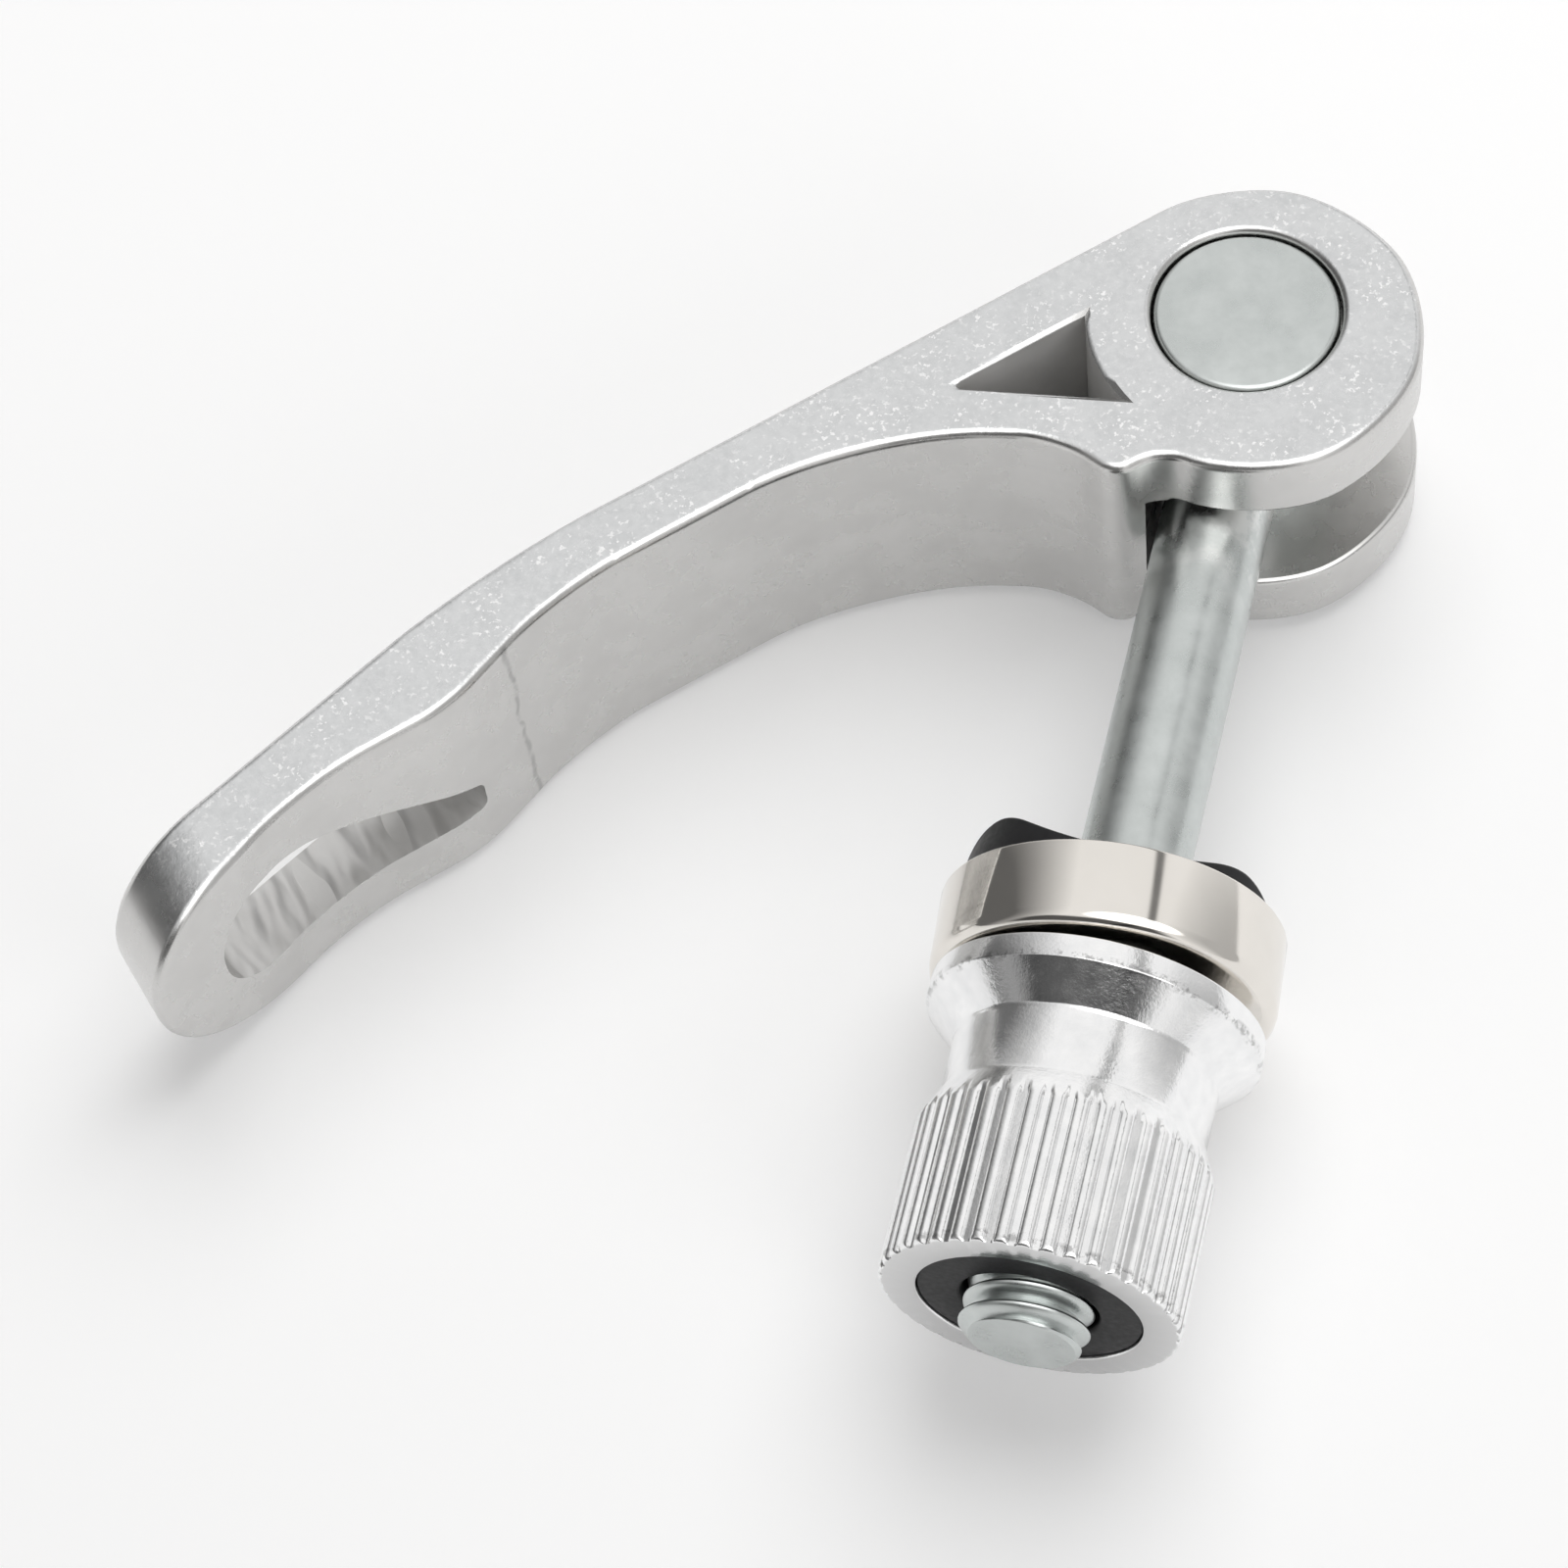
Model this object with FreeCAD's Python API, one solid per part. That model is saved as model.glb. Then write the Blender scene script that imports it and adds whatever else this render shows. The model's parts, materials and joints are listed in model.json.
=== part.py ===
import FreeCAD
import Part
import math
import os

# Quick release clamp for a seatpost collar, lying on its side. Millimetres.
# The origin is the centre of the pivot pin. The pin lies along Z and the rod runs down -Y.
# The lever is drawn in its own plane, with U along the lever and V towards the nut,
# and is turned about the pin into its rest position at the end.

Vector = FreeCAD.Vector
ORIGIN = Vector(0, 0, 0)
X_AXIS = Vector(1, 0, 0)
Y_AXIS = Vector(0, 1, 0)
Z_AXIS = Vector(0, 0, 1)

# Lever as a whole
lever_rest_angle = 223.7
lever_opening = 150.0
lever_closing = 2.0
lever_width = 14.1
lever_edge_break = 0.35

# Cam head: an eccentric disc around the pin
cam_radius = 8.25
cam_offset_u = 0.3
cam_offset_v = 0.95
heel_top = 4.6
heel_end = 10.3
heel_corner = 1.3
heel_foot_u = 11.5
heel_foot_v = 1.2
heel_foot_round = 6.0
heel_notch_round = 0.8

# Arm between the head and the paddle
arm_thickness = 3.25
arm_root = 19.2
arm_root_round = 20.0
arm_end = 35.6
arm_end_round = 19.0

# Paddle, bent away from the back edge of the arm
paddle_bend = 38.1
paddle_bend_round = 51.0
paddle_bend_angle = 13.5
paddle_crest = 42.9
paddle_crest_thickness = 4.85
paddle_crest_round = 8.5
paddle_dip = 50.6
paddle_dip_thickness = 3.1
paddle_dip_round = 18.0
lever_length = 61.4
tip_thickness = 4.7
tip_upper_round = 5.6
tip_flat = 0.2

# Finger hole through the paddle, a teardrop with its narrow end at the lower side
finger_hole_lean = 17.0
finger_hole_start = 39.9
finger_hole_rim = 3.63
finger_hole_wall = 3.55
finger_hole_narrow = 2.0
finger_hole_slope_length = 9.9
finger_hole_end_flat = 0.5
finger_hole_slope_round = 6.0
finger_hole_narrow_round = 0.55

# Three-sided lightening hole beside the pin
window_wall = 3.3
window_hub = 7.75
window_far = 14.35
window_top = 1.1
window_round = 0.25

# Pivot pin and its bore
pin_diameter = 9.0
pin_clearance = 0.1
pin_recess = 0.2
pin_chamfer = 0.3
pin_bore_chamfer = 0.35

# Rod: plain shank with a rolled thread on its free end
shank_diameter = 5.3
thread_diameter = 5.95
thread_start = 29.8
thread_runout = 0.8
rod_reach = 51.6
rod_root = 3.9
rod_root_chamfer = 0.3
rod_tip_chamfer = 0.48
rod_fit = 0.03

# Slot in the cam head, in which the rod swings
slot_width = 6.4
slot_rod_clearance = 0.5
slot_hub_clearance = 0.4

# Thumb nut
nut_position = 35.0
nut_length = 14.9
nut_thread_clearance = 0.08
nut_mouth_chamfer = 0.5
flange_inset = 0.25
flange_thickness = 1.15
waist_diameter = 12.4
waist_length = 3.0
knurl_diameter = 13.9
knurl_flare = 1.7
knurl_end_chamfer = 0.3
flute_count = 40
flute_width = 0.7
flute_floor = 0.3
flute_depth = 0.3

# Lock insert pressed into the end of the nut
insert_diameter = 10.3
insert_thickness = 2.4
insert_recess = 0.15
insert_fit = 0.03
insert_rod_clearance = 0.2

# Cup and saddle washer, which lean loosely on the rod
washer_seat_gap = 0.05
cup_lean = 4.0
cup_diameter = 16.2
cup_wall = 0.4
cup_height = 4.2
cup_corner_round = 0.7
cup_corner_bands = 2
washer_rod_clearance = 0.45
saddle_fit = 0.02
saddle_lean = -3.0
saddle_height = 4.55
saddle_seat_clearance = 1.0
saddle_seat_depth = 1.6
saddle_horn_round = 1.7
saddle_crest_round = 1.2

# Sizes that follow from the ones above
overrun = 4.0
through = 2 * lever_length
same_place = 0.05
half_width = lever_width / 2
tip_lower_round = lever_width - tip_upper_round - tip_flat
pin_radius = pin_diameter / 2
shank_radius = shank_diameter / 2
thread_radius = thread_diameter / 2
cup_radius = cup_diameter / 2
flange_radius = cup_radius - flange_inset
back_v = cam_offset_v - cam_radius
arm_v = back_v + arm_thickness
paddle_slope = math.tan(math.radians(paddle_bend_angle))
rod_angle = 270.0 - lever_rest_angle
saddle_tilt = saddle_lean - cup_lean
saddle_shift = math.tan(math.radians(saddle_tilt)) * (cup_height - cup_wall) / 2


def corner_arc(before, corner, after, radius):
    """Start, middle and end of the arc that rounds a corner between two straight runs."""
    start_way = (before - corner).normalize()
    end_way = (after - corner).normalize()
    half_angle = start_way.getAngle(end_way) / 2
    run = radius / math.tan(half_angle)
    inward = (start_way + end_way).normalize()
    centre = corner + inward * (radius / math.sin(half_angle))
    return corner + start_way * run, centre - inward * radius, corner + end_way * run


def rounded_edges(corners):
    """Edges of an open path of (x, y, radius) corners, with an arc at each corner that has a radius."""
    points = [Vector(x, y, 0) for x, y, radius in corners]
    edges = []
    here = points[0]
    for index in range(1, len(corners) - 1):
        radius = corners[index][2]
        if radius == 0:
            edges.append(Part.makeLine(here, points[index]))
            here = points[index]
            continue
        start, middle, end = corner_arc(points[index - 1], points[index], points[index + 1], radius)
        edges.append(Part.makeLine(here, start))
        edges.append(Part.Arc(start, middle, end).toShape())
        here = end
    edges.append(Part.makeLine(here, points[-1]))
    return edges


def rounded_face(corners):
    """Flat face inside a closed outline of (x, y, radius) corners."""
    first = corners[0]
    last = corners[-1]
    seam = ((first[0] + last[0]) / 2, (first[1] + last[1]) / 2, 0)
    return Part.Face(Part.Wire(rounded_edges([seam] + corners + [seam])))


def turned(corners):
    """Solid turned about the Y axis from an outline of (radius, y, corner radius)."""
    return rounded_face(corners).revolve(ORIGIN, Y_AXIS, 360)


def plate(face, height):
    """Plate of the given height on both sides of the lever's middle plane."""
    solid = face.extrude(Vector(0, 0, height))
    solid.translate(Vector(0, 0, -height / 2))
    return solid


def across_paddle(face, lean):
    """Prism through the lever from a face drawn as (along the lever, Z), leaning by some degrees."""
    prism = plate(face, through)
    prism.rotate(ORIGIN, X_AXIS, 90)
    prism.rotate(ORIGIN, Z_AXIS, lean)
    return prism


def back_at(u):
    """V of the back edge of the paddle."""
    return back_v + (u - paddle_bend) * paddle_slope


def lever_outline():
    """Side of the lever: the cam disc, the heel beside the rod, the thin arm and the bent paddle."""
    far_u = lever_length + overrun
    tip_slope = (back_at(lever_length) + tip_thickness - back_at(paddle_dip) - paddle_dip_thickness)
    tip_slope = tip_slope / (lever_length - paddle_dip)
    tip_v = back_at(lever_length) + tip_thickness
    heel_run = math.sqrt(cam_radius ** 2 - (heel_top - cam_offset_v) ** 2)
    path = [
        (cam_offset_u, back_v, 0),
        (paddle_bend, back_v, paddle_bend_round),
        (far_u, back_at(far_u), 0),
        (far_u, tip_v + tip_slope * overrun, 0),
        (paddle_dip, back_at(paddle_dip) + paddle_dip_thickness, paddle_dip_round),
        (paddle_crest, back_at(paddle_crest) + paddle_crest_thickness, paddle_crest_round),
        (arm_end, arm_v, arm_end_round),
        (arm_root, arm_v, arm_root_round),
        (heel_foot_u, heel_foot_v, heel_foot_round),
        (heel_end, heel_top, heel_corner),
        (cam_offset_u + heel_run, heel_top, 0),
    ]
    cam_far_side = Vector(cam_offset_u - cam_radius, cam_offset_v, 0)
    cam_start = Vector(path[-1][0], path[-1][1], 0)
    cam_end = Vector(path[0][0], path[0][1], 0)
    cam_edge = Part.Arc(cam_start, cam_far_side, cam_end).toShape()
    return Part.Face(Part.Wire(rounded_edges(path) + [cam_edge])), cam_start


def lever_blank():
    """Lever with its rounded tip and broken edges, before the holes and the slot are cut."""
    outline, notch = lever_outline()
    blank = plate(outline, lever_width)
    plan = rounded_face([
        (-through, -half_width, 0),
        (lever_length, -half_width, tip_lower_round),
        (lever_length, half_width, tip_upper_round),
        (-through, half_width, 0),
    ])
    blank = blank.common(across_paddle(plan, 0))
    upright = [edge for edge in blank.Edges if is_along(edge, Z_AXIS)]
    notch_line = [edge for edge in upright if edge.CenterOfMass.distanceToPoint(notch) < same_place]
    blank = blank.makeFillet(heel_notch_round, notch_line)
    rim = [edge for edge in blank.Edges if not is_along(edge, Z_AXIS) and not is_along(edge, Y_AXIS)]
    return blank.makeChamfer(lever_edge_break, rim)


def is_along(edge, axis):
    """Whether an edge is straight and runs along an axis."""
    if edge.Curve.TypeId != "Part::GeomLine":
        return False
    return abs(edge.Curve.Direction.dot(axis)) > 0.9999


def rod_slot():
    """Space in the cam head that the rod sweeps as the lever goes from closed to open."""
    half_slot = shank_radius + slot_rod_clearance
    closed_angle = rod_angle - lever_closing
    open_angle = rod_angle + lever_opening
    base = Vector(0, 0, -slot_width / 2)
    hub = Part.makeCylinder(pin_radius + slot_hub_clearance, slot_width, base)
    swept = Part.makeCylinder(through, slot_width, base, Z_AXIS, open_angle - closed_angle)
    swept.rotate(ORIGIN, Z_AXIS, closed_angle)
    space = hub.fuse(swept)
    for angle in (closed_angle, open_angle):
        strip = Part.makeBox(through, 2 * half_slot, slot_width, Vector(0, -half_slot, -slot_width / 2))
        strip.rotate(ORIGIN, Z_AXIS, angle)
        space = space.fuse(strip)
    return space


def pin_bore():
    """Bore for the pivot pin, with a chamfer at both cheeks."""
    radius = pin_radius + pin_clearance
    mouth = radius + pin_bore_chamfer
    bore = Part.makeCylinder(radius, lever_width + 2 * overrun, Vector(0, 0, -half_width - overrun))
    for side in (-1, 1):
        face = Vector(0, 0, side * half_width)
        bore = bore.fuse(Part.makeCone(mouth, radius, pin_bore_chamfer, face, Vector(0, 0, -side)))
    return bore


def finger_hole():
    """Teardrop hole through the paddle."""
    low = finger_hole_wall - half_width
    high = half_width - finger_hole_wall
    end_round = (high - low - finger_hole_end_flat) / 2
    end = lever_length * math.cos(math.radians(finger_hole_lean)) - finger_hole_rim + tip_lift()
    corners = [
        (finger_hole_start, low + finger_hole_narrow, finger_hole_narrow_round),
        (finger_hole_start, low, finger_hole_narrow_round),
        (end, low, end_round),
        (end, high, end_round),
        (finger_hole_start + finger_hole_slope_length, high, finger_hole_slope_round),
    ]
    return across_paddle(rounded_face(corners), finger_hole_lean)


def tip_lift():
    """What the middle of the tip adds to the length along the leaning paddle."""
    middle = back_at(lever_length) + tip_thickness / 2
    return middle * math.sin(math.radians(finger_hole_lean))


def window():
    """Three-sided hole in the cheek web, with one side concentric with the pin."""
    bottom = back_v + window_wall
    top_u = math.sqrt(window_hub ** 2 - window_top ** 2)
    slope = (window_top - bottom) / (window_far - top_u)
    inside_u = top_u / 2
    corners = [
        (window_far, bottom, window_round),
        (inside_u, bottom + slope * (window_far - inside_u), 0),
        (inside_u, bottom, 0),
    ]
    depth = lever_width + 2 * overrun
    hub = Part.makeCylinder(window_hub, depth, Vector(0, 0, -depth / 2))
    hole = plate(rounded_face(corners), depth).cut(hub)
    upright = [edge for edge in hole.Edges if is_along(edge, Z_AXIS)]
    hub_corners = [edge for edge in upright if abs(edge.CenterOfMass.Length - window_hub) < same_place]
    return hole.makeFillet(window_round, hub_corners)


def cam_lever():
    """Forged lever with its forked eccentric cam."""
    lever = lever_blank()
    for tool in (rod_slot(), pin_bore(), finger_hole(), window()):
        lever = lever.cut(tool)
    lever.rotate(ORIGIN, Z_AXIS, lever_rest_angle)
    return lever


def pivot_pin():
    """Pin across the fork, drilled for the root of the rod."""
    length = lever_width - 2 * pin_recess
    flat = pin_radius - pin_chamfer
    half = length / 2
    pin = rounded_face([
        (0, -half, 0),
        (flat, -half, 0),
        (pin_radius, pin_chamfer - half, 0),
        (pin_radius, half - pin_chamfer, 0),
        (flat, half, 0),
        (0, half, 0),
    ]).revolve(ORIGIN, Y_AXIS, 360)
    pin.rotate(ORIGIN, X_AXIS, 90)
    socket_radius = shank_radius + rod_fit
    socket = Part.makeCylinder(socket_radius, rod_root + pin_diameter, Vector(0, rod_root, 0), -Y_AXIS)
    return pin.cut(socket)


def clamp_rod():
    """Rod with its root in the pin and the crest diameter of its rolled thread at the free end."""
    tip_radius = thread_radius - rod_tip_chamfer
    return turned([
        (0, rod_root, 0),
        (shank_radius - rod_root_chamfer, rod_root, 0),
        (shank_radius, rod_root - rod_root_chamfer, 0),
        (shank_radius, thread_runout - thread_start, 0),
        (thread_radius, -thread_start, 0),
        (thread_radius, rod_tip_chamfer - rod_reach, 0),
        (tip_radius, -rod_reach, 0),
        (0, -rod_reach, 0),
    ])


def clamp_nut():
    """Thumb nut: flange, cone, waist and fluted grip, with a pocket for the lock insert."""
    face = -nut_position
    end = face - nut_length
    waist_radius = waist_diameter / 2
    knurl_radius = knurl_diameter / 2
    bore = thread_radius + nut_thread_clearance
    pocket = insert_diameter / 2 + insert_fit
    pocket_floor = end + insert_recess + insert_thickness
    waist_start = face - flange_thickness - (flange_radius - waist_radius)
    waist_end = waist_start - waist_length
    nut = turned([
        (bore + nut_mouth_chamfer, face, 0),
        (flange_radius, face, 0),
        (flange_radius, face - flange_thickness, 0),
        (waist_radius, waist_start, 0),
        (waist_radius, waist_end, 0),
        (knurl_radius, waist_end - knurl_flare, 0),
        (knurl_radius, end + knurl_end_chamfer, 0),
        (knurl_radius - knurl_end_chamfer, end, 0),
        (pocket, end, 0),
        (pocket, pocket_floor, 0),
        (bore, pocket_floor, 0),
        (bore, face - nut_mouth_chamfer, 0),
    ])
    groove = flute_tool(knurl_radius)
    grooves = []
    for index in range(flute_count):
        cutter = groove.extrude(Vector(0, end - waist_end - overrun, 0))
        cutter.translate(Vector(0, waist_end, 0))
        cutter.rotate(ORIGIN, Y_AXIS, 360 * index / flute_count)
        grooves.append(cutter)
    return nut.cut(grooves)


def flute_tool(knurl_radius):
    """Section of one flute across the grip: a shallow groove with sloping sides."""
    floor = knurl_radius - flute_depth
    top = knurl_radius + flute_depth
    half_top = flute_width - flute_floor / 2
    outline = [(floor, -flute_floor / 2), (top, -half_top), (top, half_top), (floor, flute_floor / 2)]
    points = [Vector(radius, 0, across) for radius, across in outline]
    return Part.Face(Part.makePolygon(points + points[:1]))


def lock_insert():
    """Plastic ring in the end of the nut that grips the thread."""
    outer = insert_diameter / 2
    inner = thread_radius + insert_rod_clearance
    low = insert_recess - nut_position - nut_length
    high = low + insert_thickness
    return turned([(inner, low, 0), (outer, low, 0), (outer, high, 0), (inner, high, 0)])


def leaned(washer):
    """Washer drawn on the cup's base, set on the nut's flange and leaning so that one side touches it."""
    lean_drop = flange_radius * math.tan(math.radians(cup_lean))
    washer.rotate(ORIGIN, Z_AXIS, cup_lean)
    washer.translate(Vector(0, lean_drop + washer_seat_gap - nut_position, 0))
    return washer


def cup_ring():
    """Drawn cup with a hole for the rod. Narrow cone bands stand for its round bottom corner."""
    hole = thread_radius + washer_rod_clearance
    inner = cup_radius - cup_wall
    bottom_corner = []
    for band in range(cup_corner_bands + 1):
        angle = math.radians(90 * band / cup_corner_bands)
        reach = cup_radius - cup_corner_round * (1 - math.sin(angle))
        bottom_corner.append((reach, cup_corner_round * (1 - math.cos(angle)), 0))
    return leaned(turned([
        (hole, 0, 0),
        *bottom_corner,
        (cup_radius, cup_height, 0),
        (inner, cup_height, 0),
        (inner, cup_wall, 0),
        (hole, cup_wall, 0),
    ]))


def saddle_washer():
    """Moulded washer loose in the cup, tipped onto one edge and hollowed on top for the clamp collar."""
    radius = cup_radius - cup_wall - abs(saddle_shift) - saddle_fit
    top = saddle_height
    seat_radius = cam_radius + saddle_seat_clearance
    seat_centre = top - saddle_seat_depth + seat_radius
    seat_half = math.sqrt(seat_radius ** 2 - (seat_radius - saddle_seat_depth) ** 2)
    side = plate(rounded_face([
        (-radius, 0, 0),
        (radius, 0, 0),
        (radius, top, saddle_horn_round),
        (-radius, top, saddle_horn_round),
    ]), through)
    seat = Part.makeCylinder(seat_radius, through, Vector(0, seat_centre, -through / 2))
    side = side.cut(seat)
    upright = [edge for edge in side.Edges if is_along(edge, Z_AXIS)]
    crests = [edge for edge in upright if abs(abs(edge.CenterOfMass.x) - seat_half) < same_place]
    side = side.makeFillet(saddle_crest_round, crests)
    disc = Part.makeCylinder(radius, through, ORIGIN, Y_AXIS)
    bore = Part.makeCylinder(thread_radius + washer_rod_clearance, through, ORIGIN, Y_AXIS)
    saddle = side.common(disc).cut(bore)
    saddle.rotate(ORIGIN, Z_AXIS, saddle_tilt)
    tilt_rise = radius * math.sin(math.radians(abs(saddle_tilt)))
    saddle.translate(Vector(saddle_shift, cup_wall + washer_seat_gap + tilt_rise, 0))
    return leaned(saddle)


def main():
    os.makedirs("parts", exist_ok=True)
    pieces = {
        "cam_lever": cam_lever(),
        "pivot_pin": pivot_pin(),
        "clamp_rod": clamp_rod(),
        "saddle_washer": saddle_washer(),
        "cup_ring": cup_ring(),
        "clamp_nut": clamp_nut(),
        "lock_insert": lock_insert(),
    }
    for name, shape in pieces.items():
        box = shape.BoundBox
        print(name, len(shape.Solids), shape.isValid(), round(shape.Volume, 1),
              [round(size, 2) for size in (box.XMin, box.XMax, box.YMin, box.YMax, box.ZMin, box.ZMax)])
        shape.exportStep("parts/" + name + ".step")


main()
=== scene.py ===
# %% [markdown]
# # A quick release clamp for a seatpost
# The construction of the clamp comes from CAD as a fixed frame, which is never moved. The cells below set
# up the picture first: camera, table and light. Then come the finishes, and then one fine piece for each
# part of the clamp, because a thread, a row of flutes or a rounded rim needs a finer mesh than the
# construction does.

# %% Load the frame
import json
import math

import bmesh
import bpy
from mathutils import Matrix, Vector


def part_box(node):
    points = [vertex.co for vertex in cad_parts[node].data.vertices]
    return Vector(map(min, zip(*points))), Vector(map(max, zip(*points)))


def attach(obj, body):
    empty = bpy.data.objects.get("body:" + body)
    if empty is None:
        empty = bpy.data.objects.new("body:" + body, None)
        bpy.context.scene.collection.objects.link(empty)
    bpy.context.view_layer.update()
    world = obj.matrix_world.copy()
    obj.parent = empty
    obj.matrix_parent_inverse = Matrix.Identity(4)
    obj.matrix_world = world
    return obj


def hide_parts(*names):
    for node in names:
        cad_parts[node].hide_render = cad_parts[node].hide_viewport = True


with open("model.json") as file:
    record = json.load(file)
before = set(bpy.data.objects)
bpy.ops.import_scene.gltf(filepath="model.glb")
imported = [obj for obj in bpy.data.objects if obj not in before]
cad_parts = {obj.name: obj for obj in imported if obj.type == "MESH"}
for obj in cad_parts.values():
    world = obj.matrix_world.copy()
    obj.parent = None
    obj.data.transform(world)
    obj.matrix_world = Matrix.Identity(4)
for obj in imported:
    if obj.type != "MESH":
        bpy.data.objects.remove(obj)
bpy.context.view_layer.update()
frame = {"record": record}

mm = 0.001

# %% [markdown]
# ## Camera
# The picture was taken from above the nut, with a long lens and the camera rolled a little. A camera can be
# placed by its matrix, but plain values are easier to read: the point it looks at, its distance, the
# direction it looks from and its roll. The lens length then sets how large the clamp is in the frame.

# %% Camera
look_at = Vector((-17.1, -26.0, 0.0)) * mm
camera_distance = 232.0 * mm
camera_azimuth = math.radians(21.7)
camera_elevation = math.radians(60.4)
camera_roll = math.radians(-9.1)
camera_lens = 112.4


def add_camera():
    data = bpy.data.cameras.new("camera")
    data.lens = camera_lens
    data.sensor_width = 36.0
    camera = bpy.data.objects.new("camera", data)
    bpy.context.scene.collection.objects.link(camera)
    turn = Matrix.Rotation(camera_azimuth, 4, "Z")
    turn = turn @ Matrix.Rotation(math.pi / 2 - camera_elevation, 4, "X")
    turn = turn @ Matrix.Rotation(camera_roll, 4, "Z")
    back = turn @ Vector((0.0, 0.0, camera_distance))
    camera.matrix_world = Matrix.Translation(look_at + back) @ turn
    bpy.context.scene.camera = camera
    return camera


camera = add_camera()
print("camera at mm:", [round(value / mm, 1) for value in camera.location])

# %% [markdown]
# ## Node helpers
# Every finish is a small node tree. These helpers keep the trees short: one starts a material and hands
# back its shader, one adds a node, sets its plain sockets and links the driven ones, and the others wrap
# the few nodes that come again and again: a noise of a given size, a ramp between limits, sums, products
# and mixed tints.

# %% Node helpers


def add_node(tree, kind, inputs=None, **settings):
    node = tree.nodes.new(kind)
    for name, value in settings.items():
        setattr(node, name, value)
    for name, value in (inputs or {}).items():
        if isinstance(value, bpy.types.NodeSocket):
            tree.links.new(value, node.inputs[name])
        else:
            node.inputs[name].default_value = value
    return node


def new_finish(name, **sockets):
    material = bpy.data.materials.new(name)
    material.use_nodes = True
    tree = material.node_tree
    shader = tree.nodes["Principled BSDF"]
    for socket, value in sockets.items():
        shader.inputs[socket.replace("_", " ")].default_value = value
    return material, tree, shader


def noise(tree, place, size, detail=2.0, roughness=0.5):
    """Noise with features of about the given size in metres, from 0 to 1."""
    return add_node(tree, "ShaderNodeTexNoise", {
        "Vector": place, "Scale": 1.0 / size, "Detail": detail, "Roughness": roughness}).outputs["Fac"]


def ramp(tree, value, low, high, to_low=0.0, to_high=1.0):
    """Value between low and high, stretched to run between two other limits and held there."""
    node = add_node(tree, "ShaderNodeMapRange", {
        "Value": value, "From Min": low, "From Max": high, "To Min": to_low, "To Max": to_high})
    return node.outputs["Result"]


def math_of(tree, operation, first, second=0.0):
    node = add_node(tree, "ShaderNodeMath", operation=operation)
    for socket, value in zip(node.inputs, (first, second)):
        if isinstance(value, bpy.types.NodeSocket):
            tree.links.new(value, socket)
        else:
            socket.default_value = value
    return node.outputs[0]


def times(tree, first, second):
    return math_of(tree, "MULTIPLY", first, second)


def plus(tree, first, second):
    return math_of(tree, "ADD", first, second)


def size_of(tree, value):
    return math_of(tree, "ABSOLUTE", value)


def tint(tree, share, low, high):
    """Colour between two tints, or from a driven colour to a tint, by a share from 0 to 1."""
    node = add_node(tree, "ShaderNodeMix", {"Factor": share}, data_type="RGBA")
    for socket, value in ((node.inputs["A"], low), (node.inputs["B"], high)):
        if isinstance(value, bpy.types.NodeSocket):
            tree.links.new(value, socket)
        else:
            socket.default_value = (*value, 1.0)
    return node.outputs["Result"]


def along(tree, place, way):
    """How far a place reaches along a direction."""
    node = add_node(tree, "ShaderNodeVectorMath", {0: place, 1: way}, operation="DOT_PRODUCT")
    return node.outputs["Value"]


def rough_bump(tree, shader, height, strength, depth):
    bump = add_node(tree, "ShaderNodeBump", {"Height": height, "Strength": strength, "Distance": depth})
    tree.links.new(bump.outputs["Normal"], shader.inputs["Normal"])


print("node helpers ready")

# %% [markdown]
# ## Table
# The clamp lies on a white table. It rests on the cup's round wall and on the lever's lower back edge, so
# the table leans a little in the clamp's own frame. The table is a wide disc that the camera and shiny
# metal see as nearly white: a part of its brightness is a glow for those rays alone, and the rest is lit
# and takes the shadow.

# %% Table
lever_turn = math.radians(223.7)
lever_across = Matrix.Rotation(lever_turn, 3, "Z") @ Vector((0.0, 1.0, 0.0))
lever_back = -7.3
table_size = 1.6
table_white = (0.93, 0.925, 0.925, 1.0)
table_glow = 0.23


def table_lean():
    """The table's normal and the cup's lowest line, where it touches."""
    low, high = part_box("cup_ring")
    cup_line = Vector(((low.x + high.x) / 2, (low.y + high.y) / 2, low.z))
    lever_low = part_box("cam_lever")[0].z
    run = cup_line.dot(lever_across) - lever_back * mm
    normal = (Vector((0.0, 0.0, 1.0)) + lever_across * ((lever_low - cup_line.z) / run)).normalized()
    return normal, cup_line


def table_finish():
    material, tree, shader = new_finish("table_white", Roughness=0.9)
    shader.inputs["Base Color"].default_value = (0.8, 0.8, 0.8, 1.0)
    path = add_node(tree, "ShaderNodeLightPath")
    seen = math_of(tree, "MAXIMUM", path.outputs["Is Camera Ray"], path.outputs["Is Glossy Ray"])
    seen = math_of(tree, "MAXIMUM", seen, path.outputs["Is Transmission Ray"])
    glow = times(tree, seen, table_glow)
    shader.inputs["Emission Color"].default_value = table_white
    tree.links.new(glow, shader.inputs["Emission Strength"])
    return material


def add_table():
    normal, touch = table_lean()
    mesh = bpy.data.meshes.new("table")
    shape = bmesh.new()
    bmesh.ops.create_circle(shape, cap_ends=True, segments=96, radius=table_size / 2)
    turn = Vector((0.0, 0.0, 1.0)).rotation_difference(normal).to_matrix().to_4x4()
    bmesh.ops.transform(shape, matrix=Matrix.Translation(touch) @ turn, verts=shape.verts)
    shape.to_mesh(mesh)
    shape.free()
    table = bpy.data.objects.new("table", mesh)
    table.data.materials.append(table_finish())
    bpy.context.scene.collection.objects.link(table)
    return normal


table_normal = add_table()
print("table leans by degrees:", round(math.degrees(table_normal.angle(Vector((0, 0, 1)))), 2))

# %% [markdown]
# ## Lamps
# A wide, weak lamp above and a smaller one at the right give the soft shadow on the table. Metal does not
# show them: they are hidden from shiny rays, because what metal mirrors is drawn in one place, the tent
# below.

# %% Lamps


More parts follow.
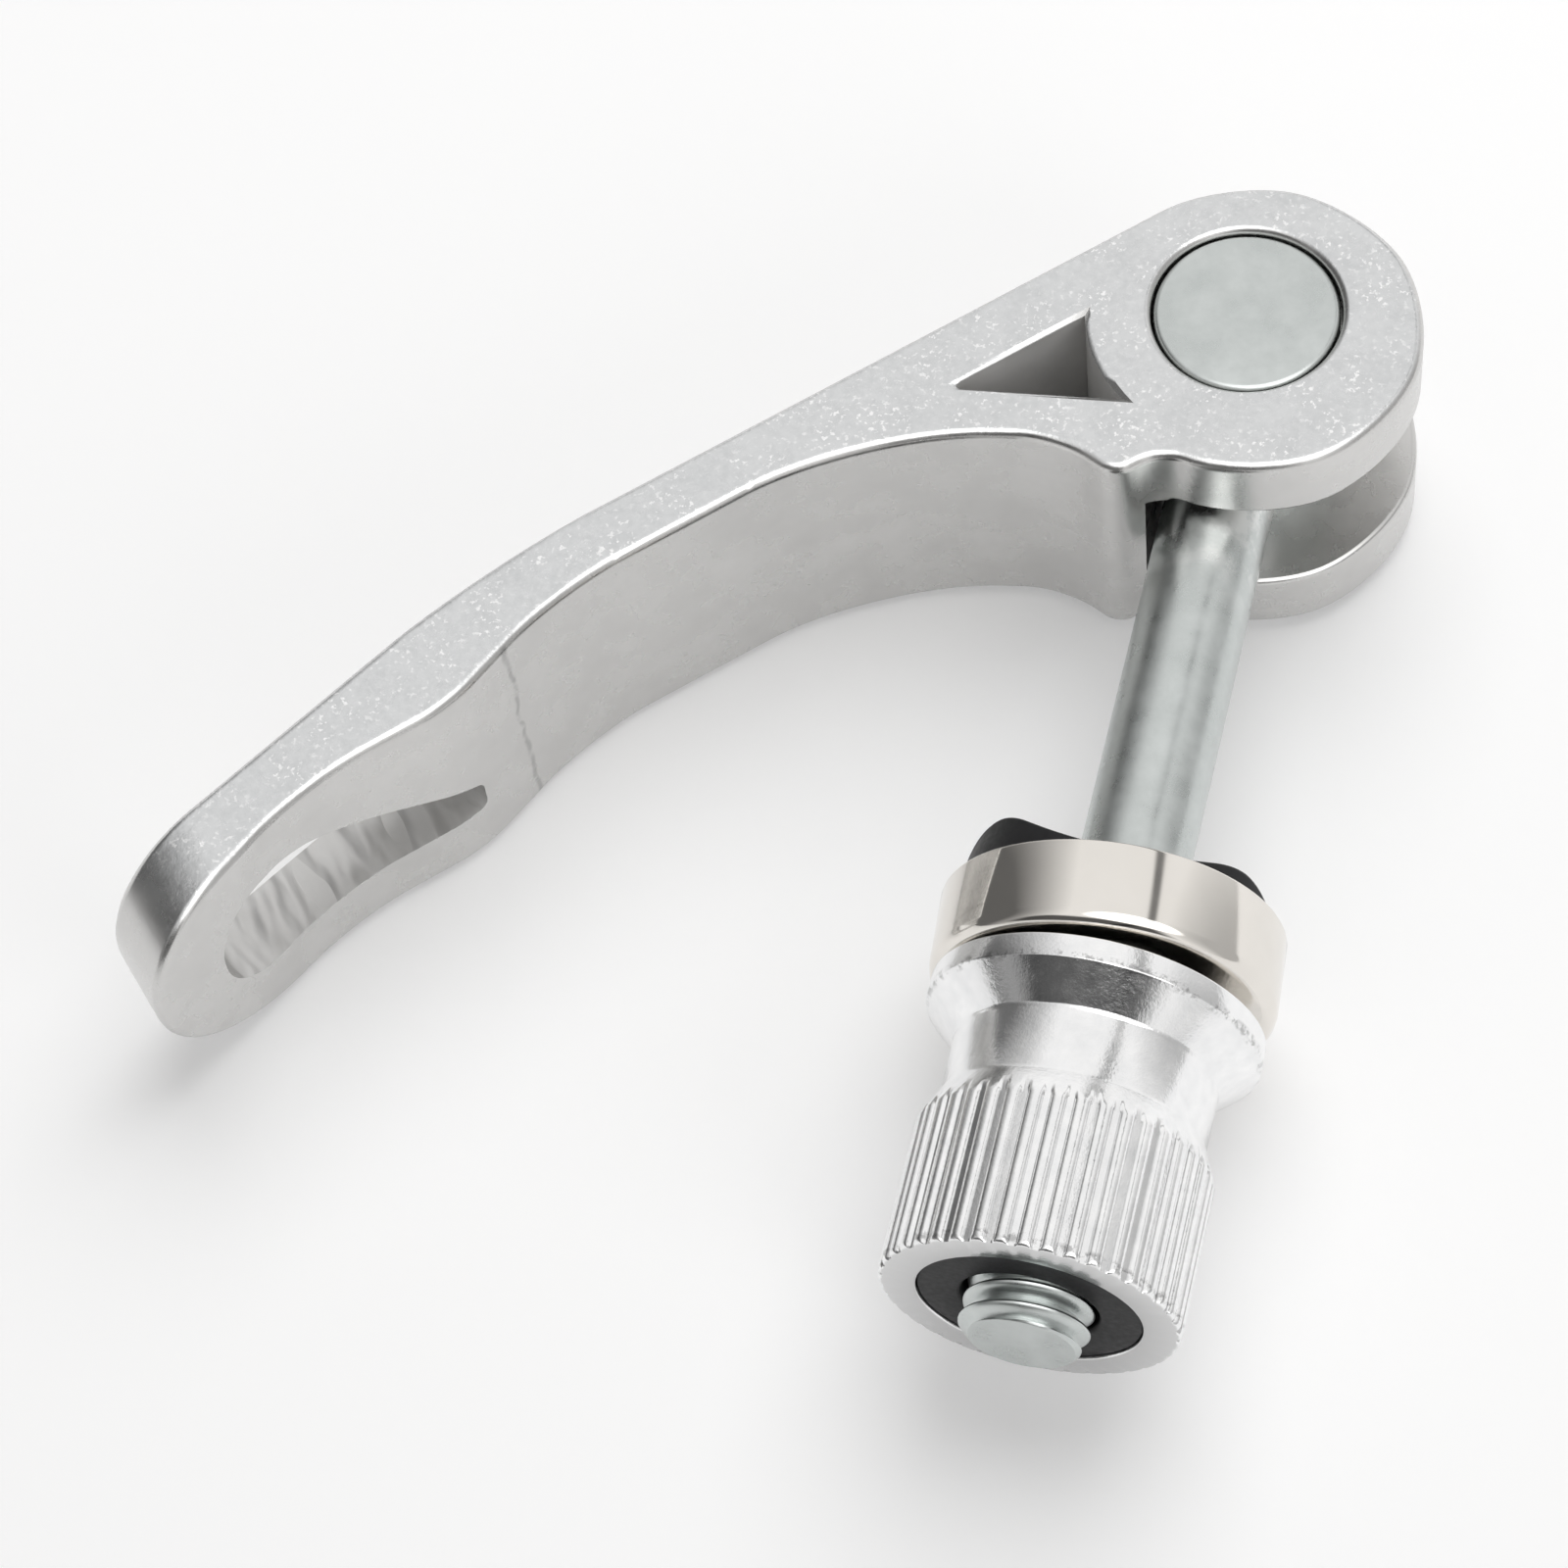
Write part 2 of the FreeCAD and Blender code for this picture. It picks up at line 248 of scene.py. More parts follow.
def add_lamp(name, place, size, power):
    data = bpy.data.lights.new(name, "AREA")
    data.shape = "DISK"
    data.size = size
    data.energy = power
    lamp = bpy.data.objects.new(name, data)
    lamp.location = place
    aim = look_at - lamp.location
    lamp.rotation_euler = aim.to_track_quat("-Z", "Y").to_euler()
    lamp.visible_glossy = False
    bpy.context.scene.collection.objects.link(lamp)


add_lamp("tent_top", Vector((0.03, 0.20, 0.45)), 0.52, 1.8)
add_lamp("tent_right", Vector((0.36, -0.26, 0.24)), 0.3, 0.3)
print("lamps:", [lamp.name for lamp in bpy.data.lights])

# %% [markdown]
# ## Light tent
# Polished metal shows what stands around it. The world is white to the camera and an even soft light to
# plain surfaces, while shiny ones see a tent: darker to the left, a pole at the right, a bright window
# overhead and a dark opening in front. A pair of values below gives two limits of a direction, and where
# there are four, the last two are the light at each limit. The window draws the bright line along each
# rounded rim, and the opening draws the dark band on the nut's cone.

# %% Light tent
diffuse_light = 0.38
left_wall = (-0.85, -0.38, 0.14, 0.97)
right_wall = (0.58, 0.90, 0.97, 0.52)
pole_slope = 0.52
pole_wall = (0.03, 0.07, 0.22, 1.0)
opening_front = (0.56, 0.68)
opening_top = (0.72, 0.60)
opening_bottom = (0.06, 0.16)
opening_right = (0.56, 0.42)
opening_left = (-0.74, -0.60)
opening_light = 0.11
window_way = (0.32, -0.36, 0.876)
window_light = (0.85, 0.91, 0.0, 1.5)


def tent_walls(tree):
    way = add_node(tree, "ShaderNodeTexCoord").outputs["Generated"]
    sideways = along(tree, way, (1.0, 0.0, 0.0))
    height = along(tree, way, (0.0, 0.0, 1.0))
    wall = math_of(tree, "MINIMUM", ramp(tree, sideways, *left_wall), ramp(tree, sideways, *right_wall))
    pole = size_of(tree, along(tree, way, (1.0, 0.0, -pole_slope)))
    wall = times(tree, wall, ramp(tree, pole, *pole_wall))
    opening = ramp(tree, along(tree, way, (0.0, -1.0, 0.0)), *opening_front)
    for limits in (opening_top, opening_bottom):
        opening = times(tree, opening, ramp(tree, height, *limits))
    for limits in (opening_right, opening_left):
        opening = times(tree, opening, ramp(tree, sideways, *limits))
    wall = times(tree, wall, ramp(tree, opening, 0.0, 1.0, 1.0, opening_light))
    window = ramp(tree, along(tree, way, window_way), *window_light)
    return plus(tree, wall, window)


def add_world():
    world = bpy.data.worlds.new("light_tent")
    bpy.context.scene.world = world
    world.use_nodes = True
    tree = world.node_tree
    background = tree.nodes["Background"]
    path = add_node(tree, "ShaderNodeLightPath")
    mirrored = add_node(tree, "ShaderNodeMix", {"Factor": path.outputs["Is Glossy Ray"]}, data_type="FLOAT")
    mirrored.inputs["A"].default_value = diffuse_light
    tree.links.new(tent_walls(tree), mirrored.inputs["B"])
    shown = math_of(tree, "MAXIMUM", path.outputs["Is Camera Ray"], path.outputs["Is Transmission Ray"])
    strength = math_of(tree, "MAXIMUM", shown, mirrored.outputs["Result"])
    tree.links.new(strength, background.inputs["Strength"])
    background.inputs["Color"].default_value = (1.0, 0.995, 0.99, 1.0)
    bpy.context.scene.view_settings.view_transform = "Standard"


add_world()
print("world:", bpy.context.scene.world.name)

# %% [markdown]
# ## Where the lever is rough
# The lever is a forging that was tumbled bright, but not everywhere alike. Its two flat sides kept a fine
# grain, the wall of the finger hole is torn, because it was punched, and the walls of the windows were
# never polished. Each of these places could be a material of its own. One finish with masks has no seams
# between them, so these helpers find the places by where a point lies and which way it faces.

# %% Where the lever is rough
lever_way = Matrix.Rotation(lever_turn, 3, "Z") @ Vector((1.0, 0.0, 0.0))
upwards = (0.0, 0.0, 1.0)
side_layer = (4.5, 6.0)
torn_from = (38.5, 40.0)
torn_to = (58.6, 58.0)
window_far = 14.35
window_floor = -4.0
window_apex = 6.96
window_slope = (window_apex - window_floor) / window_far
window_edge = (7.5, 7.2)
window_base = (-4.5, -4.1)
window_start = (4.7, 5.2)


def step_mm(tree, value, limits):
    """From 0 to 1 between two distances in millimetres."""
    return ramp(tree, value, limits[0] * mm, limits[1] * mm)


def near_side(tree, place):
    """Share of what lies well away from the lever's middle plane."""
    return step_mm(tree, size_of(tree, along(tree, place, upwards)), side_layer)


def torn_wall(tree, place, normal):
    """Share of the finger hole's wall."""
    across = size_of(tree, along(tree, normal, lever_across))
    wall = ramp(tree, near_side(tree, place), 0.0, 1.0, 1.0, 0.0)
    wall = times(tree, wall, ramp(tree, across, 0.55, 0.75, 1.0, 0.0))
    for limits in (torn_from, torn_to):
        wall = times(tree, wall, step_mm(tree, along(tree, place, lever_way), limits))
    return wall


def window_wall(tree, place, facing):
    """Share of the walls of the windows beside the hub."""
    wall = ramp(tree, facing, 0.5, 0.7, 1.0, 0.0)
    slope_way = lever_across + lever_way * window_slope
    for way, limits in ((slope_way, window_edge), (lever_across, window_base), (lever_way, window_start)):
        wall = times(tree, wall, step_mm(tree, along(tree, place, way), limits))
    return wall


print("finger hole wall from mm:", torn_from[0], "to", torn_to[0])

# %% [markdown]
# ## Forged aluminium
# The grain of the flat sides carries painted glints: near-white spots of colour in patches, which stand in
# for the sparkle of the grain. A faint painted shade line marks the crease where the forging dies parted,
# across the inner face at the paddle. On the torn wall the noise is stretched the way the punch went, which
# draws it into folds. All of these are one shader: its colour, roughness and bump are mixed by the masks
# above.

# %% Forged aluminium
parting_line = 39.7
fold_stretch = 0.7
fold_height = 18.0


# Painted shade: a dark line along the crease where the forging dies parted, standing in for the shade in it.
def parting_crease_shade(tree, place, normal):
    crease = math_of(tree, "SUBTRACT", along(tree, place, lever_way), parting_line * mm)
    crease = plus(tree, crease, times(tree, noise(tree, place, 3.0 * mm), 1.0 * mm))
    crease = ramp(tree, size_of(tree, crease), 0.05 * mm, 0.18 * mm, 0.4, 0.0)
    inner = ramp(tree, along(tree, normal, lever_across), 0.6, 0.8)
    broken = ramp(tree, noise(tree, place, 1.1 * mm), 0.38, 0.55)
    return times(tree, crease, times(tree, inner, broken))


def forged_colour(tree, place, side, shade):
    shade = ramp(tree, shade, 0.15, 0.65)
    smooth = tint(tree, shade, (0.60, 0.595, 0.585), (0.77, 0.765, 0.755))
    grainy = tint(tree, shade, (0.555, 0.567, 0.573), (0.71, 0.719, 0.724))
    # Painted glints: near-white colour in small specks, clustered in patches, on the grainy sides only.
    painted_glint_specks = ramp(tree, noise(tree, place, 0.27 * mm, 3.0, 0.6), 0.56, 0.64)
    glint_patches = ramp(tree, noise(tree, place, 1.7 * mm, 2.0), 0.42, 0.62, 0.15, 1.0)
    painted_glint = times(tree, times(tree, painted_glint_specks, glint_patches), side)
    return tint(tree, painted_glint, tint(tree, side, smooth, grainy), (0.97, 0.97, 0.97))


def folds(tree, place):
    """Noise that is drawn out across the lever."""
    shift = times(tree, along(tree, place, lever_across), fold_stretch)
    shift = add_node(tree, "ShaderNodeVectorMath", {0: lever_across, "Scale": shift}, operation="SCALE")
    ends = {0: place, 1: shift.outputs["Vector"]}
    drawn = add_node(tree, "ShaderNodeVectorMath", ends, operation="SUBTRACT")
    return ramp(tree, noise(tree, drawn.outputs["Vector"], 1.9 * mm, 1.5, 0.5), 0.32, 0.68)


def forged_aluminium():
    material, tree, shader = new_finish("forged_aluminium")
    texture = add_node(tree, "ShaderNodeTexCoord")
    place = texture.outputs["Object"]
    normal = texture.outputs["Normal"]
    facing = size_of(tree, along(tree, normal, upwards))
    side = times(tree, ramp(tree, facing, 0.7, 0.97), near_side(tree, place))
    mottle = times(tree, noise(tree, place, 0.45 * mm, 3.0, 0.6), side)
    clouds = noise(tree, place, 2.6 * mm, 4.0, 0.6)
    base = forged_colour(tree, place, side, plus(tree, times(tree, clouds, 0.5), times(tree, mottle, 0.6)))
    base = tint(tree, parting_crease_shade(tree, place, normal), base, (0.20, 0.20, 0.20))
    tree.links.new(base, shader.inputs["Base Color"])
    torn = torn_wall(tree, place, normal)
    dull = math_of(tree, "MAXIMUM", window_wall(tree, place, facing), times(tree, torn, 0.3))
    tree.links.new(ramp(tree, dull, 0.0, 1.0, 1.0, 0.3), shader.inputs["Metallic"])
    satin = ramp(tree, clouds, 0.3, 0.7, 0.22, 0.32)
    tree.links.new(plus(tree, satin, times(tree, dull, 0.35)), shader.inputs["Roughness"])
    relief = times(tree, times(tree, folds(tree, place), torn), fold_height)
    relief = plus(tree, times(tree, noise(tree, place, 1.4 * mm, 2.0), 0.3), relief)
    rough_bump(tree, shader, plus(tree, mottle, relief), 0.6, 0.04 * mm)
    return material


lever_metal = forged_aluminium()
print("lever:", lever_metal.name)

# %% [markdown]
# ## Zinc plate
# The rod and the pin are steel under a thin zinc plate: a dull grey with a breath of green, cloudier in
# some places than in others. Two sizes of noise give the clouds, in colour and in roughness alike, and near
# the pin the plate has pale blotches where it was handled.

# %% Zinc plate
blotch_start = (-4.6, -5.4)
blotch_end = (-14.0, -7.0)


def zinc_plate():
    material, tree, shader = new_finish("zinc_plate", Metallic=1.0)
    place = add_node(tree, "ShaderNodeTexCoord").outputs["Object"]
    reach = along(tree, place, (0.0, 1.0, 0.0))
    clouds = noise(tree, place, 1.6 * mm, 4.0, 0.6)
    base = tint(tree, ramp(tree, clouds, 0.32, 0.70), (0.54, 0.57, 0.56), (0.64, 0.67, 0.66))
    handled = times(tree, step_mm(tree, reach, blotch_end), step_mm(tree, reach, blotch_start))
    spots = noise(tree, place, 2.4 * mm, 5.0, 0.65)
    pale = times(tree, ramp(tree, spots, 0.50, 0.58), handled)
    stain = times(tree, ramp(tree, spots, 0.44, 0.36), handled)
    base = tint(tree, times(tree, pale, 0.85), base, (0.84, 0.85, 0.84))
    base = tint(tree, times(tree, stain, 0.4), base, (0.30, 0.31, 0.31))
    tree.links.new(base, shader.inputs["Base Color"])
    tree.links.new(ramp(tree, clouds, 0.3, 0.7, 0.24, 0.38), shader.inputs["Roughness"])
    rough_bump(tree, shader, noise(tree, place, 0.22 * mm), 0.15, 0.02 * mm)
    return material


zinc = zinc_plate()
print("rod and pin:", zinc.name)

# %% [markdown]
# ## Nickel plate
# The cup is polished and nickel plated, with the warm tone nickel has beside zinc. It is nearly a mirror,
# so its look comes from the tent, and only a little clouding is left to do.

# %% Nickel plate


def nickel_plate():
    material, tree, shader = new_finish("nickel_plate", Metallic=1.0)
    place = add_node(tree, "ShaderNodeTexCoord").outputs["Object"]
    clouds = noise(tree, place, 1.8 * mm, 3.0)
    base = tint(tree, clouds, (0.76, 0.73, 0.685), (0.83, 0.80, 0.755))
    tree.links.new(base, shader.inputs["Base Color"])
    tree.links.new(ramp(tree, clouds, 0.3, 0.7, 0.06, 0.11), shader.inputs["Roughness"])
    return material


nickel = nickel_plate()
print("cup:", nickel.name)

# %% [markdown]
# ## Bright turned alloy
# The nut is turned aluminium, left bright. It has been through many hands: fine scratches all over, and
# dull nicks along the flange and the end of the grip. The nicks are a noise kept to two rings along the
# rod's axis. The faced-off end is painted darker: painted shade for the shaded table that it mirrors.

# %% Bright turned alloy
worn_rings = ((-36.1, 0.3), (-49.5, 0.3))


def bright_alloy():
    material, tree, shader = new_finish("bright_alloy", Metallic=1.0)
    texture = add_node(tree, "ShaderNodeTexCoord")
    place = texture.outputs["Object"]
    reach = along(tree, place, (0.0, 1.0, 0.0))
    clouds = noise(tree, place, 1.2 * mm, 4.0, 0.6)
    base = tint(tree, ramp(tree, clouds, 0.3, 0.7), (0.84, 0.845, 0.85), (0.96, 0.96, 0.96))
    # Painted shade: faces that look along the rod towards its tip are tinted darker.
    end_face_shade = ramp(tree, along(tree, texture.outputs["Normal"], (0.0, -1.0, 0.0)), 0.8, 0.95)
    base = tint(tree, end_face_shade, base, (0.66, 0.66, 0.66))
    nicks = ramp(tree, noise(tree, place, 0.6 * mm, 4.0, 0.7), 0.50, 0.60)
    for centre, width in worn_rings:
        away = size_of(tree, math_of(tree, "SUBTRACT", reach, centre * mm))
        ring = ramp(tree, away, 0.4 * width * mm, width * mm, 0.6, 0.0)
        base = tint(tree, times(tree, ring, nicks), base, (0.25, 0.25, 0.25))
    tree.links.new(base, shader.inputs["Base Color"])
    tree.links.new(ramp(tree, clouds, 0.3, 0.7, 0.10, 0.20), shader.inputs["Roughness"])
    scratches = plus(tree, noise(tree, place, 0.16 * mm, 3.0, 0.6), times(tree, clouds, 1.5))
    rough_bump(tree, shader, scratches, 0.3, 0.025 * mm)
    return material


alloy = bright_alloy()
print("nut:", alloy.name)

# %% [markdown]
# ## Black nylon
# The saddle washer and the lock insert are moulded from black nylon. Its skin is satin, not matt: a broad,
# weak highlight with a fine grain in it. One fine noise drives colour, roughness and bump together, as the
# grain of a mould does.

# %% Black nylon


def black_nylon():
    material, tree, shader = new_finish("moulded_nylon", Specular_IOR_Level=0.22)
    place = add_node(tree, "ShaderNodeTexCoord").outputs["Object"]
    grain = noise(tree, place, 0.3 * mm, 3.0)
    base = tint(tree, grain, (0.010, 0.010, 0.011), (0.022, 0.022, 0.023))
    tree.links.new(base, shader.inputs["Base Color"])
    tree.links.new(ramp(tree, grain, 0.3, 0.7, 0.38, 0.52), shader.inputs["Roughness"])
    rough_bump(tree, shader, grain, 0.15, 0.03 * mm)
    return material


nylon = black_nylon()
print("washer and insert:", nylon.name)

# %% [markdown]
# ## Outlines and turned shapes
# Most pieces start as a flat outline of a few corners, each with its own radius. A vertex bevel rounds a
# corner exactly when its offset is the run from the corner to the arc's end. A large arc is several such
# corners, set where its tangents meet. A turned piece is half of its section, spun about the rod's axis.

# %% Outlines and turned shapes
arc_step = 0.3


def round_corner(shape, corner, radius):
    ways = [(edge.other_vert(corner).co - corner.co).normalized() for edge in corner.link_edges]
    half_angle = ways[0].angle(ways[1]) / 2
    arc = (math.pi - 2 * half_angle) * radius
    steps = max(4, math.ceil(arc / (arc_step * mm)))
    bmesh.ops.bevel(shape, geom=[corner], offset=radius / math.tan(half_angle), offset_type="OFFSET",
                    segments=steps, profile=0.5, affect="VERTICES", material=-1)


def outline(corners):
    """A flat face from (x, y, radius) corners in millimetres."""
    shape = bmesh.new()
    points = [shape.verts.new((x * mm, y * mm, 0.0)) for x, y, radius in corners]
    shape.faces.new(points)
    for point, (x, y, radius) in zip(points, corners):
        if radius:
            round_corner(shape, point, radius * mm)
    bmesh.ops.remove_doubles(shape, verts=shape.verts, dist=1e-6)
    return shape


def arc_corners(centre, radius, start, end, count):
    """Corners whose rounds join into one arc between two angles in degrees."""
    step = math.radians(end - start) / count
    far = radius / math.cos(step / 2)
    corners = []
    for index in range(count):
        angle = math.radians(start) + step * (index + 0.5)
        corners.append((centre[0] + far * math.cos(angle), centre[1] + far * math.sin(angle), radius))
    return corners


def turned(corners, around=128):
    """A section of (radius, y, corner radius) spun about the Y axis, left open where it meets the axis."""
    shape = outline(corners)
    bmesh.ops.delete(shape, geom=shape.faces[:], context="FACES_ONLY")
    on_axis = [edge for edge in shape.edges if all(abs(vert.co.x) < 1e-9 for vert in edge.verts)]
    bmesh.ops.delete(shape, geom=on_axis, context="EDGES")
    bmesh.ops.spin(shape, geom=shape.verts[:] + shape.edges[:], cent=(0, 0, 0), axis=(0, 1, 0),
                   angle=2 * math.pi, steps=around, use_merge=True, use_duplicate=False)
    bmesh.ops.remove_doubles(shape, verts=shape.verts, dist=1e-7)
    bmesh.ops.recalc_face_normals(shape, faces=shape.faces)
    return shape


print("rounded outlines in steps of mm:", arc_step)

# %% [markdown]
# ## Plates and cuts
# A forged or moulded piece is an outline made thick and then cut. The cutting is left to the Boolean
# modifier, whose result is read back into a bmesh so that the next operator can go on from there.

# %% Plates and cuts


def thick(shape, height):
    """An outline made a plate that reaches half of the height to each side of its plane."""
    grown = bmesh.ops.extrude_face_region(shape, geom=shape.faces[:])["geom"]
    moved = [item for item in grown if isinstance(item, bmesh.types.BMVert)]
    bmesh.ops.translate(shape, verts=moved, vec=(0, 0, height * mm))
    bmesh.ops.translate(shape, verts=shape.verts, vec=(0, 0, -height * mm / 2))
    bmesh.ops.recalc_face_normals(shape, faces=shape.faces)
    return shape


def rolled(shape, degrees, axis):
    turn = Matrix.Rotation(math.radians(degrees), 3, axis)
    bmesh.ops.rotate(shape, cent=(0, 0, 0), matrix=turn, verts=shape.verts)
    return shape


def bar(radius, length, axis, around=96):
    """A plain cylinder through the origin, as a cutting tool."""
    shape = bmesh.new()
    bmesh.ops.create_cone(shape, cap_ends=True, segments=around, radius1=radius * mm, radius2=radius * mm,
                          depth=length * mm)
    turn = Vector((0, 0, 1)).rotation_difference(Vector(axis)).to_matrix()
    bmesh.ops.rotate(shape, cent=(0, 0, 0), matrix=turn, verts=shape.verts)
    return shape


def loose_object(name, shape):
    mesh = bpy.data.meshes.new(name)
    shape.to_mesh(mesh)
    shape.free()
    piece = bpy.data.objects.new(name, mesh)
    bpy.context.scene.collection.objects.link(piece)
    return piece


def cut(shape, tool, operation="DIFFERENCE"):
    """One solid cut by another, or kept only where both are."""
    body = loose_object("cut_body", shape)
    cutter = loose_object("cut_tool", tool)
    modifier = body.modifiers.new("cut", "BOOLEAN")
    modifier.operation = operation
    modifier.solver = "EXACT"
    modifier.object = cutter
    made = bpy.data.meshes.new_from_object(body.evaluated_get(bpy.context.evaluated_depsgraph_get()))
    result = bmesh.new()
    result.from_mesh(made)
    bpy.data.objects.remove(body)
    bpy.data.objects.remove(cutter)
    bpy.data.meshes.remove(made)
    bmesh.ops.remove_doubles(result, verts=result.verts, dist=1e-7)
    return result


print("plates and cuts ready")

# %% [markdown]
# ## Dressing a part
# A finished piece takes the place of one CAD part in the picture and rides on the same body, so it moves
# with the joints. Its body is looked up in the record. Edges that carry a bevel weight can be rounded by a
# Bevel modifier, and weighted normals then keep the flat faces flat to the light.

# %% Dressing a part


def box_mm(node):
    return [[value / mm for value in corner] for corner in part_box(node)]


def dress(name, shape, finish, node, sharp=40.0, rounding=0.0):
    piece = loose_object(name, shape)
    piece.data.materials.append(finish)
    piece.data.polygons.foreach_set("use_smooth", [True] * len(piece.data.polygons))
    piece.data.set_sharp_from_angle(angle=math.radians(sharp))
    if rounding:
        bevel = piece.modifiers.new("rounding", "BEVEL")
        bevel.width = rounding * mm
        bevel.segments = 3
        bevel.limit_method = "WEIGHT"
        bevel.use_clamp_overlap = False
        piece.modifiers.new("flat_faces", "WEIGHTED_NORMAL").keep_sharp = True
    record = frame["record"]
    body = next(body for body, nodes in record["behaviour"]["bodies"].items() if node in nodes)
    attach(piece, body)
    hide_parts(node)
    print(name, "faces:", len(piece.data.polygons))


# %% [markdown]
# ## Rolled thread
# The thread stands a little proud of the shank, because it was rolled and not cut. One tooth is drawn as a
# wave, and a spin with a step along the axis winds it into a screw. Two planes cut the screw to length, its
# first turn fades into the shank, and the free end is turned down to a blunt point.

# %% Rolled thread
rod_low, rod_high = box_mm("clamp_rod")
rod_tip = rod_low[1]
thread_crest = rod_high[0]
shank_radius = 2.65
thread_pitch = 1.0
thread_depth = 0.58
crest_power = 0.8
spare_turns = 3
thread_top = -29.0
thread_fade = 0.8
tip_radius = 2.5


def wound_thread(turn_steps=48, wave_steps=12):
    shape = bmesh.new()
    last = None
    for index in range(wave_steps + 1):
        share = index / wave_steps
        wave = 0.5 - 0.5 * math.cos(2 * math.pi * share)
        radius = thread_crest - thread_depth * (1 - wave ** crest_power)
        start = rod_tip + (share - spare_turns / 2) * thread_pitch
        point = shape.verts.new((radius * mm, start * mm, 0))
        if last:
            shape.edges.new((last, point))
        last = point
    turns = math.ceil((thread_top - rod_tip) / thread_pitch) + spare_turns
    bmesh.ops.spin(shape, geom=shape.verts[:] + shape.edges[:], cent=(0, 0, 0), axis=(0, 1, 0),
                   dvec=(0, thread_pitch * mm / turn_steps, 0), angle=2 * math.pi * turns,
                   steps=turn_steps * turns, use_merge=False, use_duplicate=False)
    bmesh.ops.remove_doubles(shape, verts=shape.verts, dist=1e-7)
    for height, away in ((rod_tip, -1), (thread_top, 1)):
        bmesh.ops.bisect_plane(shape, geom=shape.verts[:] + shape.edges[:] + shape.faces[:], dist=1e-8,
                               plane_co=(0, height * mm, 0), plane_no=(0, away, 0), clear_outer=True)
    for vert in shape.verts:
        radius = math.hypot(vert.co.x, vert.co.z)
        below = (thread_top * mm - vert.co.y) / (thread_fade * mm)
        wanted = shank_radius * mm + (radius - shank_radius * mm) * min(1.0, below)
        wanted = min(wanted, tip_radius * mm + (vert.co.y - rod_tip * mm))
        vert.co.x *= wanted / radius
        vert.co.z *= wanted / radius
    return shape


print("thread turns:", round((thread_top - rod_tip) / thread_pitch, 1))

# %% [markdown]
# ## Rod
# The rod is a plain steel shank with the thread at its free end. The two could be meshes that overlap, but
# then a seam shows where the thread begins. The shank is spun from its few corners and bridged to the
# thread's first ring, so rod and thread are one skin.

# %% Rod
rod_root = rod_high[1]
root_chamfer = 0.3
shank_steps = 64


def threaded_rod():
    shape = wound_thread()
    open_edges = [edge for edge in shape.edges if edge.is_boundary]
    tip_ring = [edge for edge in open_edges if edge.verts[0].co.y < (rod_tip + thread_fade) * mm]
    bmesh.ops.edgeloop_fill(shape, edges=tip_ring)
    start_ring = [edge for edge in open_edges if edge not in tip_ring]
    shank = [(0, rod_root), (shank_radius - root_chamfer, rod_root), (shank_radius, rod_root - root_chamfer),
             (shank_radius, thread_top + root_chamfer)]
    points = [shape.verts.new((radius * mm, y * mm, 0)) for radius, y in shank]
    lines = [shape.edges.new(pair) for pair in zip(points, points[1:])]
    bmesh.ops.spin(shape, geom=points + lines, cent=(0, 0, 0), axis=(0, 1, 0), angle=2 * math.pi,
                   steps=shank_steps, use_merge=True, use_duplicate=False)
    bmesh.ops.remove_doubles(shape, verts=shape.verts, dist=1e-8)
    open_edges = [edge for edge in shape.edges if edge.is_boundary]
    shank_ring = [edge for edge in open_edges if edge.verts[0].co.y > thread_top * mm + 1e-6]
    start_ring = [edge for edge in start_ring if edge.is_valid]
    bmesh.ops.bridge_loops(shape, edges=shank_ring + start_ring)
    bmesh.ops.recalc_face_normals(shape, faces=shape.faces)
    return shape


dress("threaded_rod", threaded_rod(), zinc, "clamp_rod", sharp=32)

# %% [markdown]
# ## Pivot pin
# The pin is a short turned barrel that the lever swings on. Its ends are only just below the lever's sides
# and have a small rounded edge, which catches the light as a thin ring. The rod is pressed into a hole
# across it.

# %% Pivot pin
pin_low, pin_high = box_mm("pivot_pin")
pin_round = 0.3
rod_fit = 0.03


def pivot_pin():
    shape = turned([
        (0, pin_low[2], 0),
        (pin_high[0], pin_low[2], pin_round),
        (pin_high[0], pin_high[2], pin_round),
        (0, pin_high[2], 0),
    ])
    rolled(shape, 90, "X")
    socket = bar(shank_radius + rod_fit, 2 * rod_root, (0, 1, 0), shank_steps)
    bmesh.ops.translate(socket, vec=(0, -rod_fit * mm, 0), verts=socket.verts)
    return cut(shape, socket)


dress("turned_pin", pivot_pin(), zinc, "pivot_pin", sharp=50)

# %% [markdown]
# ## Thumb nut
# The nut is turned from bar: a flange, a cone down to the waist and a grip that flares out again. The grip
# is knurled into straight, half-round ribs. They are worked out on the spun mesh: a point of the grip moves
# in until it lies on its rib or on the floor between two, and the ribs run out by themselves on the flare.

# %% Thumb nut
nut_low, nut_high = box_mm("clamp_nut")
nut_face = nut_high[1]
nut_end = nut_low[1]
flange_radius = nut_high[0]
flange_edge = nut_face - 1.15
waist_radius = 6.2
waist_top = flange_edge - (flange_radius - waist_radius)
waist_end = waist_top - 3.0
grip_radius = 6.95
grip_top = waist_end - 1.7
nut_bore = 3.055
bore_chamfer = 0.5
pocket_radius = 5.18
pocket_floor = -47.35
rib_count = 40
rib_height = 0.25
rib_half = 0.34
columns_per_rib = 14
flare_steps = 7
rib_run = 0.5
end_face_margin = 0.6


def rib_wall(angle):
    """Distance from the axis to the ribbed wall at an angle about it."""
    share = (angle * rib_count / (2 * math.pi) + 0.5) % 1.0 - 0.5
    rise = max(0.0, 1.0 - (share / rib_half) ** 2)
    return grip_radius - rib_height * (1.0 - math.sqrt(rise))


